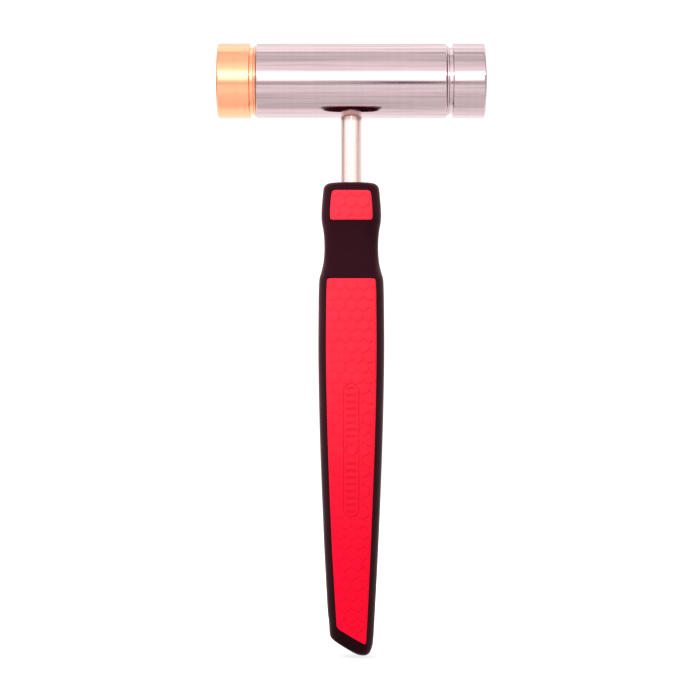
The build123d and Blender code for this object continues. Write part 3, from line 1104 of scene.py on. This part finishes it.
# Glow of the floor by distance behind the hammer, in metres.
FLOOR_GLOW = (
    (-0.82, 0.45), (-0.74, 0.72), (-0.66, 0.95), (-0.57, 1.2), (-0.5, 1.2), (-0.42, 0.97), (-0.33, 1.12),
    (-0.26, 1.1), (-0.23, 0.88), (-0.2, 0.98), (-0.16, 0.9), (-0.1, 0.86), (-0.07, 0.8), (-0.03, 0.78),
    (0.0, 0.8), (0.04, 1.2), (0.1, 1.35), (0.3, 1.4), (0.82, 1.4),
)
DARK_CARD = (0.02, 0.012, 0.02, 1.0)
LAMP_TARGET = Vector((0, 0, 0.12))
# Each lamp's place, size, and share of the key light's power.
LAMPS = {
    "key": ((-0.32, -0.42, 0.72), 0.28, 0.62),
    "fill": ((0.75, -0.55, 0.45), 0.45, 0.14),
    "back": ((-0.1, 0.9, 0.7), 0.6, 0.5),
}


class HAMMER_OT_stage(bpy.types.Operator):
    """Set up the floor, the soft light and the camera."""

    bl_idname = "hammer.stage"
    bl_label = "Stage"

    def execute(self, context):
        self.floor()
        self.world()
        self.lights()
        self.camera(context)
        context.scene.view_settings.view_transform = "Standard"
        return {"FINISHED"}

    def floor(self):
        floor = add(
            bpy.ops.mesh.primitive_circle_add, "floor",
            vertices=128, radius=FLOOR_RADIUS, fill_type="NGON", location=(0, 0, -0.5 * MM),
        )
        bpy.ops.object.transform_apply(location=True)
        look = Look(bpy.data.materials.new("pale_floor"))
        glow = look.ramp(look.part(look.place(), "Y"), -FLOOR_RADIUS, FLOOR_RADIUS, FLOOR_GLOW)
        floor.data.materials.append(
            look.finish(Base_Color=rgba(WHITE, 0.15), Roughness=0.9, Specular_IOR_Level=0.1,
                        Emission_Color=glow, Emission_Strength=1.0)
        )

    def world(self):
        """A white room with a bright strip above the camera, and a small dark card beside the camera."""
        values = settings("stage")
        world = bpy.data.worlds.new("studio")
        bpy.context.scene.world = world
        look = Look(world)
        here = look.node("ShaderNodeTexCoord", output="Generated")
        side, up, front = look.part(here, "X"), look.part(here, "Z"), look.part(here, "Y") * -1.0
        degrees = 180 / math.pi
        turn = up.maths("ARCTAN2", up, front) * degrees  # the angle of ROOM_STRIPS
        level = look.ramp(turn, -180, 180, ROOM_STRIPS)
        aside = side.maths("ARCTAN2", side, front) * degrees  # 0 towards the camera, 90 at the steel end
        away = aside.maths("ABSOLUTE", aside)
        raised = up.within(0.17, 0.21)
        # the low part of the strip is bright only above the camera
        beside = away.within(3.8, 6) * (1 - away.within(80, 100)) * (1 - raised)
        glare = (level - 1.3).maths("MAXIMUM", level - 1.3, 0.0)
        # both sides are dimmer, and the raised part has more contrast away from the camera
        other = -1 * aside
        dim = aside.within(30, 72) * (1 - aside.within(92, 120)) * 0.42
        dim = dim + other.within(66, 96) * (1 - other.within(112, 136)) * 0.5
        strip = (level - glare * beside) * (1 - dim) + (level - 1.15) * 0.9 * raised * away.within(8, 20)
        # a window high on the rear wall
        strip = strip + 2.2 * turn.within(146, 150) * (1 - turn.within(162, 168)) * raised * (1 - away.within(146, 162))
        # the dark card, with ragged ends
        streak = look.node("ShaderNodeCombineXYZ", {0: side * 900, 1: turn * 0.45})
        ragged = look.noise(streak, 1.0, 2.0, 0.7).within(0.36, 0.56) * 0.3 + 0.7
        card = (aside.within(0.3, 1.5) * 0.72 + 0.28) * (1 - aside.within(2.42, 2.52)) * aside.within(-1.2, -0.3)
        card = card * ragged * turn.within(-20.5, -17.0) * (1 - turn.within(-9.5, -6.5))
        room, soft, plain = (
            look.node("ShaderNodeBackground", {"Color": colour, "Strength": strength})
            for colour, strength in (
                (look.mix(card, strip, DARK_CARD), values.room), (level, values.ambient), (rgba(WHITE), 1.2)
            )
        )
        scattered = look.node("ShaderNodeLightPath", output="Is Diffuse Ray")
        seen = look.node("ShaderNodeLightPath", output="Is Camera Ray")
        lit = look.node("ShaderNodeMixShader", {0: scattered, 1: room, 2: soft})
        shown = look.node("ShaderNodeMixShader", {0: seen, 1: lit, 2: plain})
        look.fill(look.tree.nodes["World Output"], {"Surface": shown})
        look.tree.nodes.remove(look.tree.nodes["Background"])

    def lights(self):
        for name, (place, size, share) in LAMPS.items():
            turn = (LAMP_TARGET - Vector(place)).to_track_quat("-Z", "Y").to_euler()
            lamp = add(bpy.ops.object.light_add, name, type="AREA", location=place, rotation=turn)
            lamp.data.size = size
            lamp.data.energy = settings("stage").key * share
            lamp.visible_glossy = False  # gloss shows the room alone

    def camera(self, context):
        values = settings("stage")
        place = (-0.5 * MM, -values.distance, values.eye_height)
        camera = add(bpy.ops.object.camera_add, "Camera", location=place, rotation=(math.radians(90), 0, 0))
        camera.data.lens = values.lens
        camera.data.sensor_width = 36
        camera.data.clip_start = 0.01
        context.scene.camera = camera


# ------------------------ add-on


class HAMMER_PT_panel(bpy.types.Panel):
    """Lists the pieces in the order they are made."""

    bl_idname = "HAMMER_PT_panel"
    bl_label = "Bench hammer"
    bl_space_type = "VIEW_3D"
    bl_region_type = "UI"
    bl_category = "Hammer"

    def draw(self, context):
        for step in STEPS:
            self.layout.operator(step.bl_idname)
        for name, group in GROUPS.items():
            box = self.layout.box()
            box.label(text=name.title())
            for prop in group.__annotations__:
                box.prop(settings(name), prop)


GROUPS = {"head": HeadSizes, "grip": GripSizes, "finishes": Finishes, "stage": StageSettings}
STEPS = (
    HAMMER_OT_stage, HAMMER_OT_barrel, HAMMER_OT_faces, HAMMER_OT_rings, HAMMER_OT_rod, HAMMER_OT_lock_screws,
    HAMMER_OT_core, HAMMER_OT_grip, HAMMER_OT_pads,
)


def register():
    for kind in (*GROUPS.values(), *STEPS, HAMMER_PT_panel):
        bpy.utils.register_class(kind)
    for name, group in GROUPS.items():
        setattr(bpy.types.Scene, "hammer_" + name, PointerProperty(type=group))


def unregister():
    for name in GROUPS:
        delattr(bpy.types.Scene, "hammer_" + name)
    for kind in (HAMMER_PT_panel, *reversed(STEPS), *GROUPS.values()):
        bpy.utils.unregister_class(kind)


def main():
    """Model every piece."""
    register()
    for step in STEPS:
        module, name = step.bl_idname.split(".")
        result = getattr(getattr(bpy.ops, module), name)()
        if "FINISHED" not in result:
            raise RuntimeError(step.bl_label + " was not finished")


if __name__ == "__main__":
    main()
